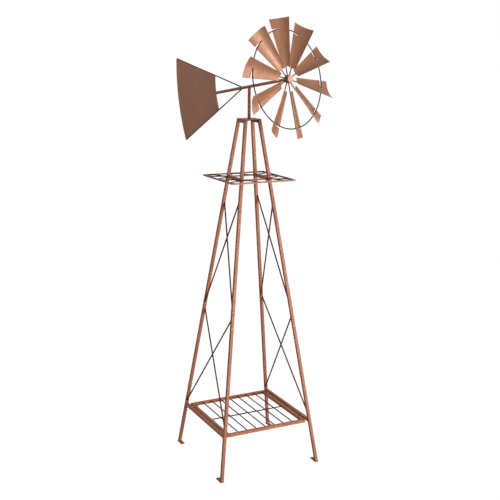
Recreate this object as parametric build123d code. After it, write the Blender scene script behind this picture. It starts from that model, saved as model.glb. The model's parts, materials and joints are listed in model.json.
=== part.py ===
from build123d import *
from math import sin, cos, radians
import os

# Garden windmill: a four-legged tapered tower with a plant shelf, a decorated tray ring high up,
# and a head that turns with the wind and carries a ten-bladed wheel and a tail vane.
# Row frame: origin on the ground at the tower's centre, +Z up, -Y the front. Millimetres.

# ---------------------------------------------------------------- driving sizes
tower_height = 1440.0       # ground to the top of the cap plate
foot_spread = 221.9         # leg centre to tower centre at the ground, along X and along Y
top_spread = 30.4           # the same at the cap plate
tube = 12.7                 # square tube of the legs and rails
tube_wall = 1.2
tube_corner = 1.0           # outside corner radius of the square tube
bar_corner = 0.7            # the same on the tray's solid bars
contact = 0.05              # gap left where a round rod is laid on another piece
gap = 0.3                   # gap between pieces that move past each other

foot_thick = 3.0
foot_length = 45.0
foot_width = 17.0
stake_hole_radius = 3.5
stake_hole_inset = 10.0     # stake hole centre to the inner end of the foot plate

lower_rail_height = 181.5   # centre line of the lower side rails
brace_middle_height = 0.448 * tower_height
brace_top_height = 0.770 * tower_height
brace_rise = 10.0           # the outer rod of each crossing ends this much higher, the inner one lower
brace_diameter = 6.0

shelf_side_gap = 9.5        # between the shelf's frame and each side rail
shelf_leg_gap = 2.0         # between the shelf's front or back and the legs' inner faces
shelf_top = lower_rail_height + 3.5
shelf_bar_diameter = 5.0
shelf_bar_count = 7
shelf_bolt_diameter = 5.0
shelf_bolt_inset = 40.0     # shelf corner to the bolts of a side rail

tray_size = 281.0           # outside of the tray's square frame
tray_height = 0.8338 * tower_height     # centre plane of the tray
tray_bar = 6.0
scroll_diameter = 4.5
scroll_corner = 22.0        # radius of the scroll's turn in a corner of the frame
scroll_pull = 0.42          # how far each bend of the scroll runs on before it turns

plate_thick = 3.0
pin_diameter = 9.5          # swivel pin that the mast turns on
pin_head_diameter = 16.0
pin_head_height = 6.0
pin_reach = 90.0            # pin above the cap plate
washer_thick = 1.2
mast_diameter = 12.7
running = 0.10              # radial running clearance of the mast
mast_rise = 126.6           # cap plate to where the boom's axis crosses the mast's
boom_diameter = 12.0
boom_wall = 1.5
boom_tilt = 9.75            # degrees that the wheel end is raised
head_turn = 18.16           # degrees that the head stands turned from -Y towards +X

wheel_offset = 212.5        # mast axis to the wheel's ring plane, along the boom
hub_diameter = 31.0
hub_front = 12.0            # hub face in front of the ring plane
hub_back = 6.0
cap_diameter = 29.0
cap_thick = 2.0
recess_diameter = 16.0      # front recess of the hub that holds the lock nut
recess_depth = 8.5
axle_diameter = 6.0
axle_running = 0.08
axle_plug_length = 30.0     # thick end of the axle inside the boom
nut_flats = 10.0
nut_height = 4.5
hub_washer_diameter = 11.0
hub_washer_thick = 1.0

ring_radius = 190.0
ring_wire = 4.6
spoke_diameter = 4.4
spoke_socket = 4.0
blade_count = 10
blade_phase = 94.74         # degrees of the first blade from the wheel's horizontal line
blade_pitch = 27.6          # degrees between a blade's chord and the wheel's plane
blade_inner_radius = 48.0
blade_outer_radius = ring_radius + 40.7
blade_inner_chord = 31.4
blade_outer_chord = 82.4
blade_inner_sag = 3.2
blade_outer_sag = 8.2
blade_thick = 0.9
slit_width = 6.2
slit_start = -2.2           # where the slit ends, across the blade from its middle line

vane_apex = 32.0            # mast axis to the point where the vane's edges would meet
vane_inner_radius = 166.0
vane_outer_radius = 420.0
vane_half_angle = 24.4
vane_bow = 0.45             # bow of the vane's curved edges, as a part of a full arc about the apex
vane_thick = 1.2
strut_diameter = 5.0
boom_tail = 270.0           # boom behind the mast axis

os.makedirs("parts", exist_ok=True)


def save(shape, name):
    shape.label = name
    export_step(shape, f"parts/{name}.step")


# ---------------------------------------------------------------- tower
leg_slope = (foot_spread - top_spread) / tower_height


def spread(z):
    """Leg centre to tower centre at height z."""
    return foot_spread - leg_slope * z


leg_top = tower_height - plate_thick
boom_height = tower_height + mast_rise
half_tube = tube / 2
tube_bore = tube - 2 * tube_wall
corners = {"back_left": (-1, 1), "front_left": (-1, -1), "back_right": (1, 1), "front_right": (1, -1)}


def cylinder_between(p, q, radius):
    """Round rod from point p to point q."""
    axis = Vector(*q) - Vector(*p)
    plane = Plane(origin=p, z_dir=axis)
    return extrude(plane * Circle(radius), axis.length)


def box_between(low, high):
    """Block with two opposite corners given."""
    size = [h - l for l, h in zip(low, high)]
    centre = [(h + l) / 2 for l, h in zip(low, high)]
    return Pos(*centre) * Box(*size)


for name, (sx, sy) in corners.items():
    rise = leg_top - foot_thick
    run = leg_slope * rise
    base = Pos(sx * spread(foot_thick), sy * spread(foot_thick), foot_thick)
    section = RectangleRounded(tube, tube, tube_corner) - Rectangle(tube_bore, tube_bore)
    lean = Vector(-sx * run, -sy * run, rise)
    leg = extrude(base * section, amount=lean.length, dir=lean.normalized())
    save(leg, f"leg_{name}")

foot_outer = spread(0) + half_tube
stake_y = foot_outer - foot_length + stake_hole_inset
feet = []
for sx, sy in corners.values():
    plate = box_between(
        (sx * spread(0) - foot_width / 2, min(sy * foot_outer, sy * (foot_outer - foot_length)), 0),
        (sx * spread(0) + foot_width / 2, max(sy * foot_outer, sy * (foot_outer - foot_length)), foot_thick),
    )
    hole = Pos(sx * spread(0), sy * stake_y, foot_thick / 2) * Cylinder(stake_hole_radius, 3 * foot_thick)
    feet.append(plate - hole)
save(Compound(children=feet), "foot_plates")


def bay(z_low, z_high, thickness, x_centre):
    """Block that fills the space between two legs of one side panel over a height range."""
    low = spread(z_low) - half_tube
    high = spread(z_high) - half_tube
    outline = Polyline((-low, z_low), (low, z_low), (high, z_high), (-high, z_high), close=True)
    face = Plane(origin=(x_centre, 0, 0), x_dir=(0, 1, 0), z_dir=(1, 0, 0)) * make_face(outline)
    return extrude(face, thickness / 2, both=True)


def side_rail(z_low, side):
    """Square tube rail between the two legs of a side panel."""
    z_high = z_low + tube
    x = side * spread(z_low + half_tube)
    rail = bay(z_low, z_high, tube, x)
    rail = fillet(rail.edges().filter_by(Axis.Y), tube_corner)
    return rail - Pos(x, 0, z_low + half_tube) * Box(tube_bore, 2 * foot_spread, tube_bore)


sides = {"left": -1, "right": 1}
shelf_width = 2 * (spread(lower_rail_height) - half_tube - shelf_side_gap)
shelf_depth = 2 * (spread(lower_rail_height) - half_tube - shelf_leg_gap)
shelf_rail_x = shelf_width / 2 - half_tube
bolt_height = lower_rail_height
bolt_radius = shelf_bolt_diameter / 2
bolt_hole = bolt_radius + contact
side_rail_x = spread(lower_rail_height)
bolt_ys = (shelf_bolt_inset - shelf_depth / 2, shelf_depth / 2 - shelf_bolt_inset)

for name, side in sides.items():
    lower = side_rail(lower_rail_height - half_tube, side)
    for y in bolt_ys:
        lower -= Pos(side * side_rail_x, y, bolt_height) * Rot(0, 90, 0) * Cylinder(bolt_hole, 2 * tube)
    save(lower, f"lower_rail_{name}")
    save(side_rail(tray_height - half_tube, side), f"tray_rail_{name}")
    save(side_rail(leg_top - tube, side), f"top_rail_{name}")

brace_radius = brace_diameter / 2
brace_low_height = lower_rail_height + half_tube + brace_diameter
brace_bays = {
    "upper": (brace_middle_height + brace_diameter / 2, brace_top_height),
    "lower": (brace_low_height, brace_middle_height - brace_diameter / 2),
}
for name, side in sides.items():
    for level, (z_low, z_high) in brace_bays.items():
        room = bay(lower_rail_height + half_tube, brace_top_height + 4 * tube, 2 * foot_spread,
                   side * foot_spread)
        for letter, hand in (("a", 1), ("b", -1)):
            # Both side panels are one part, turned by half a turn: the outer rod rises to the same leg.
            outer = hand * side
            step = outer * (brace_radius + contact)
            z_end = z_high + outer * brace_rise
            p = Vector(side * (spread(z_low) + step), -hand * spread(z_low), z_low)
            q = Vector(side * (spread(z_end) + step), hand * spread(z_end), z_end)
            rod = cylinder_between(tuple(p), tuple(q), brace_radius) & room
            save(rod, f"brace_{level}_{name}_{letter}")

# ---------------------------------------------------------------- plant shelf
shelf_z = shelf_top - half_tube
inner_x = shelf_width / 2 - tube
inner_y = shelf_depth / 2 - tube
for name, sy in (("front", -1), ("back", 1)):
    spot = Pos(0, sy * (shelf_depth / 2 - half_tube), shelf_z)
    rail = spot * Box(shelf_width, tube, tube)
    rail = fillet(rail.edges().filter_by(Axis.X), tube_corner)
    rail -= spot * Box(2 * shelf_width, tube_bore, tube_bore)
    save(rail, f"shelf_rail_{name}")
for name, side in sides.items():
    spot = Pos(side * shelf_rail_x, 0, shelf_z)
    rail = spot * Box(tube, 2 * inner_y, tube)
    rail = fillet(rail.edges().filter_by(Axis.Y), tube_corner)
    rail -= spot * Box(tube_bore, 4 * inner_y, tube_bore)
    for y in bolt_ys:
        rail -= Pos(side * shelf_rail_x, y, bolt_height) * Rot(0, 90, 0) * Cylinder(bolt_hole, 2 * tube)
    save(rail, f"shelf_rail_{name}")

bar_radius = shelf_bar_diameter / 2
bar_z = shelf_top - bar_radius - 1.0
bar_pitch = 2 * inner_x / (shelf_bar_count + 1)
bars = []
for i in range(shelf_bar_count):
    x = -inner_x + (i + 1) * bar_pitch
    bars.append(Pos(x, 0, bar_z) * Rot(90, 0, 0) * Cylinder(bar_radius, 2 * inner_y))
save(Compound(children=bars), "shelf_bars")
cross_z = bar_z - shelf_bar_diameter - contact
save(Pos(0, 0, cross_z) * Rot(0, 90, 0) * Cylinder(bar_radius, 2 * inner_x), "shelf_cross_bar")

bolt_outer_x = side_rail_x + half_tube
shelf_outer_x = shelf_width / 2
spacer_length = side_rail_x - half_tube - shelf_outer_x
head_height = 3.0
head_radius = 4.8
nut_thick = 4.0
nut_radius = 4.6
nut_gap_end = 1.5           # bolt thread that shows past its nut
bolts = []
spacers = []
nuts = []
for side in sides.values():
    for y in bolt_ys:
        inner_end = inner_x - nut_thick - nut_gap_end
        shank_length = bolt_outer_x - inner_end
        shank = Pos(side * (inner_end + shank_length / 2), y, bolt_height) * Rot(0, 90, 0) \
            * Cylinder(bolt_radius, shank_length)
        head = Pos(side * (bolt_outer_x + head_height / 2), y, bolt_height) * Rot(0, 90, 0) \
            * Cylinder(head_radius, head_height)
        head = fillet(head.edges().filter_by(GeomType.CIRCLE).sort_by(Axis.X)[-1 if side > 0 else 0],
                      head_height * 0.6)
        bolts.append(shank + head)
        spacer_x = side * (shelf_outer_x + spacer_length / 2)
        sleeve = Cylinder(nut_radius, spacer_length) - Cylinder(bolt_hole, 2 * spacer_length)
        spacers.append(Pos(spacer_x, y, bolt_height) * Rot(0, 90, 0) * sleeve)
        nut = extrude(RegularPolygon(nut_radius, 6) - Circle(bolt_hole), nut_thick / 2, both=True)
        nuts.append(Pos(side * (inner_x - nut_thick / 2), y, bolt_height) * Rot(0, 90, 0) * nut)
save(Compound(children=bolts), "shelf_bolts")
save(Compound(children=spacers), "shelf_spacers")
save(Compound(children=nuts), "shelf_nuts")

# ---------------------------------------------------------------- tray
tray_half = tray_size / 2
tray_side = tray_half - tray_bar / 2
for name, sy in (("front", -1), ("back", 1)):
    bar = Pos(0, sy * tray_side, tray_height) * Box(tray_size, tray_bar, tray_bar)
    save(fillet(bar.edges().filter_by(Axis.X), bar_corner), f"tray_bar_{name}")
for name, side in sides.items():
    bar = Pos(side * tray_side, 0, tray_height) * Box(tray_bar, tray_size - 2 * tray_bar, tray_bar)
    save(fillet(bar.edges().filter_by(Axis.Y), bar_corner), f"tray_bar_{name}")

leg_at_tray = spread(tray_height)
cross_low = spread(tray_height - tray_bar / 2) - half_tube
cross_high = spread(tray_height + tray_bar / 2) - half_tube
for name, sy in (("front", -1), ("back", 1)):
    z_low = tray_height - tray_bar / 2
    z_high = tray_height + tray_bar / 2
    outline = Polyline((-cross_low, z_low), (cross_low, z_low), (cross_high, z_high),
                       (-cross_high, z_high), close=True)
    face = Plane(origin=(0, sy * leg_at_tray, 0), x_dir=(1, 0, 0), z_dir=(0, -1, 0)) * make_face(outline)
    save(extrude(face, tray_bar / 2, both=True), f"tray_cross_rail_{name}")

# One closed wave of wire: it rests in each corner and on each side's middle of the frame,
# and comes in between them to the outer faces of each leg.
scroll_radius = scroll_diameter / 2
wave_out = tray_half - tray_bar - scroll_radius - contact
wave_in = leg_at_tray + half_tube + scroll_radius * (1 + leg_slope) + contact
leg_edge = leg_at_tray - half_tube
wave_stops = [
    (Vector(wave_out, 0), Vector(0, 1)),
    (Vector(wave_in, leg_edge), Vector(0, 1)),
    (Vector(wave_out, wave_out - scroll_corner), Vector(0, 1)),
    (Vector(wave_out - scroll_corner, wave_out), Vector(-1, 0)),
    (Vector(leg_edge, wave_in), Vector(-1, 0)),
    (Vector(0, wave_out), Vector(-1, 0)),
]
wave_pieces = []
for quarter in range(4):
    for (p, p_way), (q, q_way) in zip(wave_stops, wave_stops[1:]):
        pull = (q - p).length * scroll_pull
        poles = [p, p + p_way * pull, q - q_way * pull, q]
        wave_pieces.append(Bezier(*[pole.rotate(Axis.Z, 90 * quarter) for pole in poles]))
wave = Pos(0, 0, tray_height) * Wire(wave_pieces)
wave_section = Plane(origin=wave @ 0, z_dir=wave % 0) * Circle(scroll_radius)
save(sweep(wave_section, path=wave), "tray_scroll")

# ---------------------------------------------------------------- cap plate and swivel
plate_side = 2 * (top_spread + half_tube) + 1.0
pin_radius = pin_diameter / 2
plate = Pos(0, 0, tower_height - plate_thick / 2) * Box(plate_side, plate_side, plate_thick)
plate -= Pos(0, 0, tower_height) * Cylinder(pin_radius + contact, 4 * plate_thick)
save(plate, "cap_plate")
pin_top = tower_height + pin_reach
pin = Pos(0, 0, (pin_top + leg_top) / 2) * Cylinder(pin_radius, pin_top - leg_top)
pin = chamfer(pin.edges().sort_by(Axis.Z)[-1], 1.0)
pin_head = extrude(RegularPolygon(pin_head_diameter / 2, 6), pin_head_height)
pin += Pos(0, 0, leg_top - pin_head_height) * pin_head
save(pin, "swivel_pin")
washer = Cylinder(mast_diameter / 2, washer_thick) - Cylinder(pin_radius + contact, 3 * washer_thick)
save(Pos(0, 0, tower_height + washer_thick / 2) * washer, "thrust_washer")

# ---------------------------------------------------------------- head
turn = radians(head_turn)
tilt = radians(boom_tilt)
ahead = Vector(sin(turn) * cos(tilt), -cos(turn) * cos(tilt), sin(tilt))
across = Vector(cos(turn), sin(turn), 0)
above = ahead.cross(across)
cross_point = Vector(0, 0, boom_height)
boom_radius = boom_diameter / 2


def along(distance):
    """Plane across the boom, at a distance in front of the mast axis."""
    return Plane(origin=cross_point + ahead * distance, x_dir=across, z_dir=ahead)


def turned(radius, start, end):
    """Round piece on the boom's axis."""
    return extrude(along(start) * Circle(radius), end - start)


hub_end_back = wheel_offset - hub_back
hub_end_front = wheel_offset + hub_front
boom_front = hub_end_back - gap - hub_washer_thick
boom_bore = boom_radius - boom_wall
boom = turned(boom_radius, -boom_tail, boom_front) - turned(boom_bore, -2 * boom_tail, 2 * boom_front)
save(boom, "boom")

mast_foot = tower_height + washer_thick + gap
mast_bore = pin_radius + running
mast_length = boom_height - mast_foot
mast = Pos(0, 0, mast_foot + mast_length / 2) * (
    Cylinder(mast_diameter / 2, mast_length) - Cylinder(mast_bore, 2 * mast_length))
mast -= turned(boom_radius + contact, -2 * mast_diameter, 2 * mast_diameter)
save(mast, "mast")

# Axle: the thick end fills the boom's bore, the thin end carries the hub.
recess_floor = hub_end_front - recess_depth
nut_start = recess_floor + gap + hub_washer_thick
axle_tip = nut_start + nut_height + 1.2
axle_radius = axle_diameter / 2
axle = turned(boom_bore - contact, boom_front - axle_plug_length, boom_front)
axle += turned(axle_radius, boom_front - 1, axle_tip)
save(axle, "wheel_axle")
axle_hole = axle_radius + contact
rear_washer = turned(hub_washer_diameter / 2, boom_front, boom_front + hub_washer_thick)
front_washer = turned(hub_washer_diameter / 2, recess_floor + gap, nut_start)
washer_bore = turned(axle_hole, boom_front - hub_washer_thick, axle_tip)
save(Compound(children=[rear_washer - washer_bore, front_washer - washer_bore]), "axle_washers")
lock_nut = extrude(along(nut_start) * RegularPolygon(nut_flats / 2, 6, major_radius=False), nut_height)
save(lock_nut - washer_bore, "axle_lock_nut")

# Tail vane: a flat sector on one side of the boom, its two straight edges carried by struts.
vane_plane = Plane(origin=cross_point - ahead * vane_apex, x_dir=-ahead, z_dir=-across)
half = radians(vane_half_angle)


def ray(radius, angle):
    return (radius * cos(angle), radius * sin(angle))


flatten = cos(half) + vane_bow * (1 - cos(half))
outer_middle = ray(vane_outer_radius * flatten, 0)
inner_middle = ray(vane_inner_radius * flatten, 0)
vane_outline = [
    Line(ray(vane_inner_radius, half), ray(vane_outer_radius, half)),
    ThreePointArc(ray(vane_outer_radius, half), outer_middle, ray(vane_outer_radius, -half)),
    Line(ray(vane_outer_radius, -half), ray(vane_inner_radius, -half)),
    ThreePointArc(ray(vane_inner_radius, -half), inner_middle, ray(vane_inner_radius, half)),
]
vane_near = boom_radius + contact
vane_face = vane_plane.offset(vane_near) * make_face(vane_outline)
save(extrude(vane_face, vane_thick), "tail_vane")

strut_radius = strut_diameter / 2
strut_plane = vane_plane.offset(vane_near - contact - strut_radius)
boom_solid = turned(boom_radius + contact, -2 * boom_tail, boom_front)
for name, sign in (("upper", 1), ("lower", -1)):
    # The vane plane's second axis points down or up with the frame; the sign is taken from it.
    up_sign = sign if strut_plane.y_dir.Z > 0 else -sign
    tip = ray(vane_outer_radius, up_sign * half)
    root = ray(0, 0)
    p = strut_plane.from_local_coords(Vector(root[0], root[1], 0))
    q = strut_plane.from_local_coords(Vector(tip[0], tip[1], 0))
    rod = cylinder_between(tuple(p), tuple(q), strut_radius) - boom_solid
    rod = rod.solids().sort_by(SortBy.VOLUME)[-1]
    save(rod, f"vane_strut_{name}")

# ---------------------------------------------------------------- wheel
hub = turned(hub_diameter / 2, hub_end_back, hub_end_front)
hub -= turned(axle_radius + axle_running, hub_end_back - 1, hub_end_front)
hub -= turned(recess_diameter / 2, recess_floor, hub_end_front + 1)
cap = turned(cap_diameter / 2, hub_end_front, hub_end_front + cap_thick)
cap = fillet(cap.edges().filter_by(GeomType.CIRCLE).sort_by(Axis(cross_point, ahead))[-1], cap_thick / 2)
spigot_wall = 1.5
spigot = turned(recess_diameter / 2 - contact, hub_end_front - cap_thick, hub_end_front)
spigot -= turned(recess_diameter / 2 - spigot_wall, hub_end_front - 2 * cap_thick, hub_end_front)
save(cap + spigot, "hub_cap")

centre = cross_point + ahead * wheel_offset
hub_radius = hub_diameter / 2
spoke_radius = spoke_diameter / 2
spoke_reach = ring_radius - ring_wire / 2 - contact
pitch = radians(blade_pitch)


def blade_section(radius, chord, sag):
    """Cross-section of a blade's sheet, curved so that both edges stand forward."""
    back = spoke_radius + contact
    front = back + blade_thick
    h = chord / 2
    plane = Plane(origin=(radius, 0, 0), x_dir=(0, 1, 0), z_dir=(1, 0, 0))
    rim = [
        ThreePointArc((-h, back + sag), (0, back), (h, back + sag)),
        Line((h, back + sag), (h, front + sag)),
        ThreePointArc((h, front + sag), (0, front), (-h, front + sag)),
        Line((-h, front + sag), (-h, back + sag)),
    ]
    return plane * make_face(rim)


blade = loft(
    [
        blade_section(blade_inner_radius, blade_inner_chord, blade_inner_sag),
        blade_section(blade_outer_radius, blade_outer_chord, blade_outer_sag),
    ],
    ruled=True,
)
slit_end = blade_outer_chord
blade -= box_between(
    (ring_radius - 0.3 - slit_width / 2, slit_start, -slit_end),
    (ring_radius - 0.3 + slit_width / 2, slit_end, slit_end),
)

spokes = []
for k in range(blade_count):
    angle = radians(blade_phase - k * 360 / blade_count)
    outward = across * cos(angle) + above * sin(angle)
    sideways = above * cos(angle) - across * sin(angle)
    facing = ahead * cos(pitch) + sideways * sin(pitch)
    seat = Plane(origin=centre, x_dir=outward, z_dir=facing)
    save(seat * blade, f"blade_{k + 1:02d}")
    start = centre + outward * (hub_radius - spoke_socket)
    end = centre + outward * spoke_reach
    spokes.append(cylinder_between(tuple(start), tuple(end), spoke_radius))
    socket_start = centre + outward * (hub_radius - spoke_socket - contact)
    socket_end = centre + outward * (2 * hub_radius)
    hub -= cylinder_between(tuple(socket_start), tuple(socket_end), spoke_radius + contact)
save(Compound(children=spokes), "wheel_spokes")
save(hub, "wheel_hub")
ring_plane = Plane(origin=centre, x_dir=across, z_dir=ahead)
save(ring_plane * Torus(ring_radius, ring_wire / 2), "wheel_ring")
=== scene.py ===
import bmesh
import bpy
import json
import math
from mathutils import Matrix, Vector
from mathutils.geometry import intersect_line_line


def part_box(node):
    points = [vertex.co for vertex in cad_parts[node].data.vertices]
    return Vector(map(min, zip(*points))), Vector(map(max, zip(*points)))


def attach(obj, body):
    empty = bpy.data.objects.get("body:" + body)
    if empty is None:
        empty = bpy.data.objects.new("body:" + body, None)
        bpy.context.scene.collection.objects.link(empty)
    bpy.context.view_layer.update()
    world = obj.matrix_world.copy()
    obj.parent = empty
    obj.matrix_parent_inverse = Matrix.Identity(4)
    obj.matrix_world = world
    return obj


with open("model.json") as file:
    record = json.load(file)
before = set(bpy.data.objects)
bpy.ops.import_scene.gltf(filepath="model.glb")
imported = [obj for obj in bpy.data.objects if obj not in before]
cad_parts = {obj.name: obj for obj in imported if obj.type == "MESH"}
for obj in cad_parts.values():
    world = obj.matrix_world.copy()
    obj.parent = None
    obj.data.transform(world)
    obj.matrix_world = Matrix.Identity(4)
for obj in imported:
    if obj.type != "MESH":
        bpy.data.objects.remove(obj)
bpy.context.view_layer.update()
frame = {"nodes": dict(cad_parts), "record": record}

nodes = frame["nodes"]
scene = bpy.context.scene
scene.view_settings.view_transform = "Standard"

# Sizes in metres, the same as those of the pieces that the frame holds.
half_tube = 0.00635
leg_lean = 0.133  # how far a leg leans in for each metre it rises
brace_radius = 0.003
boom_radius = 0.006
mast_radius = 0.00635
ring_radius = 0.190
ring_wire = 0.0023
hub_radius = 0.0155
spoke_radius = 0.0022
blade_count = 10
blade_phase = math.radians(94.74)
shelf_bar_count = 7
x_way, y_way, z_way = Vector((1, 0, 0)), Vector((0, 1, 0)), Vector((0, 0, 1))

# ------------------------------------------------------------------ materials


def srgb(r, g, b):
    """Linear colour of an 8-bit display colour."""
    out = []
    for value in (r, g, b):
        c = value / 255
        out.append(c / 12.92 if c <= 0.04045 else ((c + 0.055) / 1.055) ** 2.4)
    return (*out, 1.0)


class Nodes:
    """Short names for making one material's nodes and links."""

    def __init__(self, name):
        self.material = bpy.data.materials.new(name)
        self.material.use_nodes = True
        self.tree = self.material.node_tree
        self.tree.nodes.clear()
        self.out = self.add("ShaderNodeOutputMaterial")
        self.shader = self.add("ShaderNodeBsdfPrincipled")
        self.link(self.shader.outputs[0], self.out.inputs["Surface"])
        self.position = self.add("ShaderNodeTexCoord").outputs["Object"]

    def add(self, kind, **values):
        node = self.tree.nodes.new(kind)
        for key, value in values.items():
            setattr(node, key, value)
        return node

    def link(self, a, b):
        self.tree.links.new(a, b)

    def noise(self, scale, detail=3.0, roughness=0.55, stretch=None):
        node = self.add("ShaderNodeTexNoise")
        node.inputs["Scale"].default_value = scale
        node.inputs["Detail"].default_value = detail
        node.inputs["Roughness"].default_value = roughness
        if stretch:
            mapping = self.add("ShaderNodeMapping")
            mapping.inputs["Scale"].default_value = stretch
            self.link(self.position, mapping.inputs["Vector"])
            self.link(mapping.outputs[0], node.inputs["Vector"])
        else:
            self.link(self.position, node.inputs["Vector"])
        return node.outputs["Fac"]

    def ramp(self, fac, stops):
        node = self.add("ShaderNodeValToRGB")
        self.link(fac, node.inputs["Fac"])
        elements = node.color_ramp.elements
        while len(elements) < len(stops):
            elements.new(0.5)
        for element, (place, colour) in zip(elements, stops):
            element.position = place
            element.color = colour
        return node.outputs["Color"]

    def scaled(self, fac, low, high, new_low, new_high):
        node = self.add("ShaderNodeMapRange")
        node.clamp = True
        self.link(fac, node.inputs["Value"])
        limits = {"From Min": low, "From Max": high, "To Min": new_low, "To Max": new_high}
        for key, value in limits.items():
            node.inputs[key].default_value = value
        return node.outputs["Result"]

    def mix(self, fac, a, b, blend="MIX"):
        node = self.add("ShaderNodeMix", data_type="RGBA", blend_type=blend)
        for socket, value in ((node.inputs[0], fac), (node.inputs[6], a), (node.inputs[7], b)):
            if isinstance(value, (tuple, float, int)):
                socket.default_value = value
            else:
                self.link(value, socket)
        return node.outputs[2]

    def edges(self, radius, low, high):
        """1 near a sharp edge, 0 on open faces."""
        bevel = self.add("ShaderNodeBevel", samples=12)
        bevel.inputs["Radius"].default_value = radius
        geometry = self.add("ShaderNodeNewGeometry")
        dot = self.add("ShaderNodeVectorMath", operation="DOT_PRODUCT")
        self.link(bevel.outputs[0], dot.inputs[0])
        self.link(geometry.outputs["Normal"], dot.inputs[1])
        return self.scaled(dot.outputs["Value"], high, low, 0.0, 1.0)

    def bump(self, fac, strength, distance, under=None):
        node = self.add("ShaderNodeBump")
        node.inputs["Strength"].default_value = strength
        node.inputs["Distance"].default_value = distance
        self.link(fac, node.inputs["Height"])
        if under is not None:
            self.link(under, node.inputs["Normal"])
        return node.outputs["Normal"]


def powder_coat(name, dark, light, edge=None, rough=(0.40, 0.56), metallic=0.3, edge_size=0.0012,
                specular=0.4, blotch=9.0):
    """Bronze powder coat: cloudy tone, faint fleck, orange-peel bump and, with edge given, an edge band
    in the edge colour: lighter on the blades and the cap, a painted highlight where thin edges catch the
    light, and darker on the vane.
    """
    fleck_tint = (1.0, 0.86, 0.74, 1.0)
    fleck_most = 0.04
    n = Nodes(name)
    cloud = n.noise(blotch, 4.0, 0.6)
    colour = n.ramp(cloud, [(0.32, dark), (0.68, light)])
    fleck = n.noise(2600.0, 1.0, 0.5)
    fleck_colour = n.mix(0.5, light, fleck_tint)
    fleck_fac = n.scaled(fleck, 0.60, 0.78, 0.0, fleck_most)
    colour = n.mix(fleck_fac, colour, fleck_colour)
    if edge:
        # Edge band: lighter than the face on the blades and the cap, a painted highlight where the thin
        # edges catch the light; darker on the vane. Noise breaks the band up.
        painted_edge_band = n.edges(edge_size, 0.80, 0.985)
        broken = n.scaled(n.noise(40.0, 3.0, 0.6), 0.30, 0.60, 0.45, 0.85)
        both = n.add("ShaderNodeMath", operation="MULTIPLY")
        n.link(painted_edge_band, both.inputs[0])
        n.link(broken, both.inputs[1])
        colour = n.mix(both.outputs[0], colour, edge)
    n.link(colour, n.shader.inputs["Base Color"])
    rough_noise = n.noise(55.0, 3.0, 0.6)
    n.link(n.scaled(rough_noise, 0.3, 0.7, *rough), n.shader.inputs["Roughness"])
    n.shader.inputs["Metallic"].default_value = metallic
    n.shader.inputs["Specular IOR Level"].default_value = specular
    peel = n.bump(n.noise(900.0, 2.0, 0.5), 0.05, 0.00006)
    n.link(peel, n.shader.inputs["Normal"])
    return n.material


def plated_steel(name, dark, light):
    """Dull bronze-plated turned steel with fine tool marks."""
    n = Nodes(name)
    marks = n.noise(420.0, 2.0, 0.5, stretch=(1.0, 1.0, 6.0))
    cloud = n.noise(38.0, 4.0, 0.6)
    mark_fac = n.scaled(marks, 0.35, 0.65, 0.0, 0.35)
    colour = n.mix(mark_fac, n.ramp(cloud, [(0.3, dark), (0.7, light)]), light)
    n.link(colour, n.shader.inputs["Base Color"])
    n.link(n.scaled(marks, 0.3, 0.7, 0.30, 0.48), n.shader.inputs["Roughness"])
    n.shader.inputs["Metallic"].default_value = 0.85
    n.link(n.bump(marks, 0.25, 0.0001), n.shader.inputs["Normal"])
    return n.material


frame_coat = powder_coat("bronze_coat_tube", srgb(146, 94, 71), srgb(158, 104, 80), metallic=0.1,
                         specular=0.15)
# The lower and shelf rails get a more orange, glossier copy of the tube coat: a painted highlight
# standing in for the lit orange faces of these rails.
rail_coat_painted_highlight = powder_coat("bronze_coat_rail_painted_highlight", srgb(160, 92, 52), srgb(172, 103, 62), metallic=0.1,
                        specular=0.3)
wire_coat = powder_coat("bronze_coat_wire", srgb(78, 38, 24), srgb(96, 48, 32), metallic=0.0,
                        specular=0.08, rough=(0.34, 0.5))
# The blades' orange edge colour is a painted highlight of their thin edges catching the light.
blade_coat = powder_coat("bronze_coat_blade", srgb(136, 92, 64), srgb(150, 103, 75),
                         edge=srgb(196, 116, 66), edge_size=0.0018, metallic=0.25, rough=(0.36, 0.5),
                         blotch=7.0)
vane_coat = powder_coat("bronze_coat_vane", srgb(150, 104, 80), srgb(160, 113, 88),
                        edge=srgb(120, 72, 52), edge_size=0.0014, rough=(0.5, 0.62), metallic=0.1,
                        specular=0.25)
# The cap's lighter edge colour is a painted highlight of its edges too.
cap_coat = powder_coat("copper_coat_cap", srgb(176, 128, 110), srgb(192, 144, 126),
                       edge=srgb(206, 152, 128), edge_size=0.001, metallic=0.4)
steel = plated_steel("bronze_plated_steel", srgb(104, 78, 62), srgb(142, 112, 92))

slot_of = {s["node"]: s["material_slot"] for s in frame["record"]["subparts"]}
by_slot = {
    "frame_coat": frame_coat,
    "wire_coat": wire_coat,
    "blade_sheet": blade_coat,
    "vane_sheet": vane_coat,
    "cap_copper": cap_coat,
    "plated_steel": steel,
}
for name, obj in nodes.items():
    material = by_slot[slot_of[name]]
    # These rails take the painted-highlight copy of the tube coat in place of the frame coat.
    if "rail" in name and name.startswith(("lower", "shelf")):
        material = rail_coat_painted_highlight
    if not obj.material_slots:
        obj.data.materials.append(material)
    for material_slot in obj.material_slots:
        material_slot.material = material

# ------------------------------------------------------------------ weld beads
# The bodies are welded from tube, rod and sheet. The rippled beads at the joints make four pieces.


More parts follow.
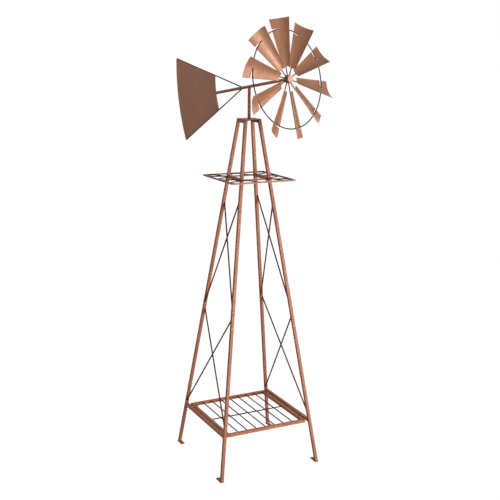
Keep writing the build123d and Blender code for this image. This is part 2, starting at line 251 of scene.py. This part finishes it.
def bead(mesh, points, size, closed=True, sides=7):
    """Adds a rippled weld bead along the points: the radius swells and sinks like laid drops."""
    ripple = 0.22
    drift, drift_step = 0.10, 1.7
    end_share = 0.35
    count = len(points)
    rings = []
    for i, p in enumerate(points):
        after = points[(i + 1) % count] if closed or i + 1 < count else p
        before = points[i - 1] if closed or i else p
        way = (after - before).normalized()
        side = way.orthogonal().normalized()
        other = way.cross(side)
        swell = size * (1.0 + ripple * math.cos(i * math.pi) + drift * math.sin(i * drift_step))
        if not closed and i in (0, count - 1):
            swell *= end_share
        ring = []
        for k in range(sides):
            angle = 2 * math.pi * k / sides
            ring.append(mesh.verts.new(p + (side * math.cos(angle) + other * math.sin(angle)) * swell))
        rings.append(ring)
    last = count if closed else count - 1
    for i in range(last):
        low, high = rings[i], rings[(i + 1) % count]
        # The next ring's first corner is the one nearest to this ring's, so the skin doesn't twist.
        shift = min(range(sides), key=lambda k: (high[k].co - low[0].co).length)
        for k in range(sides):
            q = (k + 1) % sides
            mesh.faces.new((low[k], low[q], high[(q + shift) % sides], high[(k + shift) % sides]))
    if not closed:
        mesh.faces.new(list(reversed(rings[0])))
        mesh.faces.new(rings[-1])


def collar(mesh, centre, rod_way, face_normal, rod_radius, size, steps=16):
    """Bead round a rod where it meets a flat face."""
    stand_off = 0.3
    rod_way = rod_way.normalized()
    side = rod_way.orthogonal().normalized()
    other = rod_way.cross(side)
    slope = rod_way.dot(face_normal)
    points = []
    for k in range(steps):
        angle = 2 * math.pi * k / steps
        spot = (side * math.cos(angle) + other * math.sin(angle)) * (rod_radius + stand_off * size)
        points.append(centre + spot - rod_way * (spot.dot(face_normal) / slope))
    bead(mesh, points, size)


def square_bead(mesh, centre, u, v, half_u, half_v, size, per_side=7):
    """Bead round a square tube's end."""
    points = []
    corners = [(-1, -1), (1, -1), (1, 1), (-1, 1)]
    for i, (a, b) in enumerate(corners):
        c, d = corners[(i + 1) % 4]
        for k in range(per_side):
            t = (k + 0.5) / per_side
            along_u = u * (half_u * (a + (c - a) * t))
            along_v = v * (half_v * (b + (d - b) * t))
            points.append(centre + along_u + along_v)
    bead(mesh, points, size)


def rod_ends(name):
    """Centres of the two ends of a straight rod node, lower one first."""
    spots = [v.co.copy() for v in nodes[name].data.vertices]
    low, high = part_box(name)
    middle = (low[2] + high[2]) / 2
    ends = []
    for part in ([p for p in spots if p.z < middle], [p for p in spots if p.z >= middle]):
        ends.append(sum(part, Vector()) / len(part))
    return ends


def finish_beads(mesh, name, body, material):
    """Makes one piece of the collected beads and lets it ride on its body."""
    bmesh.ops.recalc_face_normals(mesh, faces=mesh.faces[:])
    data = bpy.data.meshes.new(name)
    mesh.to_mesh(data)
    mesh.free()
    data.polygons.foreach_set("use_smooth", [True] * len(data.polygons))
    data.materials.append(material)
    obj = bpy.data.objects.new(name, data)
    scene.collection.objects.link(obj)
    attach(obj, body)


def brace_beads(mesh):
    """Beads at both ends of each brace rod, and a tack where the two rods of an X cross."""
    end_size, tack_size, pitch = 0.0010, 0.0019, 0.0012
    for level in ("upper", "lower"):
        for side in ("left", "right"):
            pair = [rod_ends(f"brace_{level}_{side}_{letter}") for letter in ("a", "b")]
            for low_end, high_end in pair:
                for end in (low_end, high_end):
                    face = Vector((0, 1 if end.y > 0 else -1, leg_lean))
                    collar(mesh, end, high_end - low_end, face.normalized(), brace_radius, end_size)
            cross = sum(intersect_line_line(*pair[0], *pair[1]), Vector()) / 2
            tack = [cross + Vector((0, 0, pitch * k)) for k in range(-3, 4)]
            bead(mesh, tack, tack_size, closed=False)


def side_rail_beads(mesh):
    """Beads round both ends of the side rails, in the plane of the leg's leaning face."""
    size, inset = 0.0008, 0.0009
    for level in ("lower", "tray", "top"):
        for side in ("left", "right"):
            low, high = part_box(f"{level}_rail_{side}")
            x = (low[0] + high[0]) / 2
            z = (low[2] + high[2]) / 2
            for y in (low[1] + inset, high[1] - inset):
                leaned = (z_way + y_way * (-leg_lean if y > 0 else leg_lean)).normalized()
                square_bead(mesh, Vector((x, y, z)), x_way, leaned, half_tube, half_tube, size)


def leg_beads(mesh):
    """Beads round the foot of each leg on its plate, and round its top under the cap plate."""
    foot_size, top_size, inset = 0.0010, 0.0008, 0.0004
    for name in ("back_left", "front_left", "back_right", "front_right"):
        low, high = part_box(f"leg_{name}")
        sx = -1 if "left" in name else 1
        sy = -1 if "front" in name else 1
        foot = Vector((sx * (max(abs(low[0]), abs(high[0])) - half_tube),
                       sy * (max(abs(low[1]), abs(high[1])) - half_tube), low[2] + inset))
        square_bead(mesh, foot, x_way, y_way, half_tube, half_tube, foot_size)
        top = Vector((sx * (min(abs(low[0]), abs(high[0])) + half_tube),
                      sy * (min(abs(low[1]), abs(high[1])) + half_tube), high[2] - inset))
        square_bead(mesh, top, x_way, y_way, half_tube, half_tube, top_size)


def shelf_beads(mesh):
    """Beads at both ends of each shelf bar, and a tack where it crosses the bar below."""
    end_size, inset = 0.0007, 0.0003
    tack_size, pitch, tack_side = 0.0009, 0.0012, 0.9
    cross_low, cross_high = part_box("shelf_cross_bar")
    bars_low, bars_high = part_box("shelf_bars")
    bar_z = (bars_low[2] + bars_high[2]) / 2
    bar_radius = (bars_high[2] - bars_low[2]) / 2
    cross_z = (cross_low[2] + cross_high[2]) / 2
    tack_z = (bar_z + cross_z) / 2
    for k in range(shelf_bar_count):
        x = cross_low[0] + (cross_high[0] - cross_low[0]) * (k + 1) / (shelf_bar_count + 1)
        for y, way in ((bars_low[1], 1), (bars_high[1], -1)):
            collar(mesh, Vector((x, y + way * inset, bar_z)), y_way, y_way, bar_radius, end_size,
                   steps=12)
        tack = [Vector((x + bar_radius * tack_side, pitch * j, tack_z)) for j in range(-2, 3)]
        bead(mesh, tack, tack_size, closed=False)


tube_beads = bmesh.new()
wire_beads = bmesh.new()
brace_beads(wire_beads)
side_rail_beads(tube_beads)
leg_beads(tube_beads)
shelf_beads(wire_beads)
finish_beads(tube_beads, "welds_tower_tubes", "tower", frame_coat)
finish_beads(wire_beads, "welds_tower_rods", "tower", wire_coat)

# The wheel's axis, which is also the boom's, and the two ways square to it.
wheel_joint = {j["name"]: j for j in frame["record"]["behaviour"]["joints"]}["wheel_spin"]
axis = Vector(wheel_joint["axis"]).normalized()
hub_centre = Vector(wheel_joint["pos_m"])
boom_cross = hub_centre - axis * (Vector((hub_centre.x, hub_centre.y, 0)).length
                                  / Vector((axis.x, axis.y, 0)).length)
across = Vector((-axis.y, axis.x, 0)).normalized()
above = axis.cross(across).normalized()


def saddle_beads(mesh):
    """Bead round the mast's top, along the line where it meets the boom's underside."""
    steps, halvings, search_depth = 28, 30, 0.03
    stand_off, size = 1.03, 0.0010
    saddle = []
    for k in range(steps):
        angle = 2 * math.pi * k / steps
        spot = Vector((mast_radius * math.cos(angle), mast_radius * math.sin(angle), 0)) * stand_off
        low_z, high_z = boom_cross.z - search_depth, boom_cross.z
        for _ in range(halvings):
            z = (low_z + high_z) / 2
            off = Vector((spot.x, spot.y, z)) - boom_cross
            clear = (off - axis * off.dot(axis)).length - boom_radius
            if clear > 0:
                low_z = z
            else:
                high_z = z
        saddle.append(Vector((spot.x, spot.y, low_z)))
    bead(mesh, saddle, size)


def strut_beads(mesh):
    """A bead at each strut's root on the boom, and six tacks along its stretch on the vane."""
    root_size, root_side = 0.0020, 0.0006
    tack_size, tack_side, tack_count = 0.0014, 0.0012, 6
    first_tack, tack_step, pitch = 0.42, 0.11, 0.0013
    end_vertices = 10
    for name in ("vane_strut_upper", "vane_strut_lower"):
        spots = [v.co.copy() for v in nodes[name].data.vertices]
        spots.sort(key=lambda p: (p - boom_cross).length)
        near = sum(spots[:end_vertices], Vector()) / end_vertices
        far = sum(spots[-end_vertices:], Vector()) / end_vertices
        way = (far - near).normalized()
        root = [near + way * (pitch * k) - across * root_side for k in range(-2, 8)]
        bead(mesh, root, root_size, closed=False)
        for step in range(tack_count):
            place = near + (far - near) * (first_tack + tack_step * step) + across * tack_side
            tack = [place + way * (pitch * k) for k in range(-3, 4)]
            bead(mesh, tack, tack_size, closed=False)


def spoke_beads(mesh):
    """Beads where each spoke enters the hub and where it meets the ring."""
    hub_size, hub_gap = 0.0006, 0.0001
    ring_size, ring_gap, thinning = 0.0007, 0.0004, 0.9
    for k in range(blade_count):
        angle = blade_phase - k * 2 * math.pi / blade_count
        outward = across * math.cos(angle) + above * math.sin(angle)
        collar(mesh, hub_centre + outward * (hub_radius + hub_gap), outward, outward, spoke_radius,
               hub_size, steps=12)
        collar(mesh, hub_centre + outward * (ring_radius - ring_wire - ring_gap), outward, outward,
               spoke_radius * thinning, ring_size, steps=12)


head_beads = bmesh.new()
saddle_beads(head_beads)
strut_beads(head_beads)
finish_beads(head_beads, "welds_head", "head", frame_coat)
wheel_beads = bmesh.new()
spoke_beads(wheel_beads)
finish_beads(wheel_beads, "welds_wheel", "wheel", wire_coat)

# ------------------------------------------------------------------ floor, world and lights


def plane_mesh(name, corners):
    mesh = bpy.data.meshes.new(name)
    mesh.from_pydata(corners, [], [tuple(range(len(corners)))])
    obj = bpy.data.objects.new(name, mesh)
    scene.collection.objects.link(obj)
    return obj


reach = 60.0
floor_glow = 1.08
camera_share = 0.93  # what a camera ray sees of the glow, so that the shadow stays in the rest
corners = [(-reach, -reach, 0), (reach, -reach, 0), (reach, reach, 0), (-reach, reach, 0)]
floor = plane_mesh("floor", corners)
floor_nodes = Nodes("pale_floor")
floor_tones = [(0.3, srgb(254, 254, 254)), (0.7, srgb(255, 255, 255))]
tint = floor_nodes.ramp(floor_nodes.noise(1.5, 2.0), floor_tones)
floor_nodes.link(tint, floor_nodes.shader.inputs["Base Color"])
floor_nodes.shader.inputs["Roughness"].default_value = 0.9
floor_nodes.shader.inputs["Specular IOR Level"].default_value = 0.1
glow = floor_nodes.add("ShaderNodeEmission")
floor_nodes.link(tint, glow.inputs["Color"])
glow.inputs["Strength"].default_value = floor_glow
lit = floor_nodes.add("ShaderNodeMixShader")
path = floor_nodes.add("ShaderNodeLightPath")
share = floor_nodes.scaled(path.outputs["Is Camera Ray"], 0.0, 1.0, 0.0, camera_share)
floor_nodes.link(share, lit.inputs[0])
floor_nodes.link(floor_nodes.shader.outputs[0], lit.inputs[1])
floor_nodes.link(glow.outputs[0], lit.inputs[2])
floor_nodes.link(lit.outputs[0], floor_nodes.out.inputs["Surface"])
floor.data.materials.append(floor_nodes.material)

# The world is white to camera, glossy and transmission rays, and a weak warm fill to all others.
world_fill = 0.07
world = bpy.data.worlds.new("studio")
scene.world = world
world.use_nodes = True
tree = world.node_tree
tree.nodes.clear()
world_out = tree.nodes.new("ShaderNodeOutputWorld")
seen = tree.nodes.new("ShaderNodeBackground")
seen.inputs["Color"].default_value = (1, 1, 1, 1)
seen.inputs["Strength"].default_value = 1.0
fill = tree.nodes.new("ShaderNodeBackground")
fill.inputs["Color"].default_value = (1.0, 0.97, 0.95, 1)
fill.inputs["Strength"].default_value = world_fill
rays = tree.nodes.new("ShaderNodeLightPath")
camera_or_gloss = tree.nodes.new("ShaderNodeMath")
camera_or_gloss.operation = "MAXIMUM"
any_seen = tree.nodes.new("ShaderNodeMath")
any_seen.operation = "MAXIMUM"
tree.links.new(rays.outputs["Is Camera Ray"], camera_or_gloss.inputs[0])
tree.links.new(rays.outputs["Is Glossy Ray"], camera_or_gloss.inputs[1])
tree.links.new(camera_or_gloss.outputs[0], any_seen.inputs[0])
tree.links.new(rays.outputs["Is Transmission Ray"], any_seen.inputs[1])
world_mix = tree.nodes.new("ShaderNodeMixShader")
tree.links.new(any_seen.outputs[0], world_mix.inputs[0])
tree.links.new(fill.outputs[0], world_mix.inputs[1])
tree.links.new(seen.outputs[0], world_mix.inputs[2])
tree.links.new(world_mix.outputs[0], world_out.inputs["Surface"])


def softbox(name, place, aim, size, power, colour=(1, 1, 1)):
    light = bpy.data.lights.new(name, "AREA")
    light.shape = "RECTANGLE"
    light.size, light.size_y = size
    light.energy = power
    light.color = colour
    obj = bpy.data.objects.new(name, light)
    obj.location = place
    obj.rotation_euler = (Vector(aim) - Vector(place)).to_track_quat("-Z", "Y").to_euler()
    scene.collection.objects.link(obj)


softbox("key", (4.2, -2.6, 0.9), (0, 0, 0.8), (1.0, 2.0), 110)
softbox("front_strip", (1.8, -3.9, 0.7), (0, 0, 0.5), (1.0, 1.4), 150, (1.0, 0.96, 0.95))
softbox("right_back", (3.4, 2.6, 1.9), (0.1, 0, 1.4), (1.4, 1.8), 40)
softbox("left_fill", (-3.4, 0.9, 2.3), (-0.1, 0.2, 1.6), (1.2, 1.2), 44)

# ------------------------------------------------------------------ camera
camera_place = Vector((-1.691, -3.359, 1.744))
ahead = Vector((0.4406, 0.8704, -0.2195)).normalized()
right = Vector((0.893, -0.4499, 0.0086)).normalized()
up = right.cross(ahead).normalized()
camera_data = bpy.data.cameras.new("camera")
camera_data.sensor_width = 36.0
camera_data.lens = 66.87
camera_data.clip_end = 60.0
camera = bpy.data.objects.new("camera", camera_data)
camera.matrix_world = Matrix((
    (right.x, up.x, -ahead.x, camera_place.x),
    (right.y, up.y, -ahead.y, camera_place.y),
    (right.z, up.z, -ahead.z, camera_place.z),
    (0, 0, 0, 1),
))
scene.collection.objects.link(camera)
scene.camera = camera
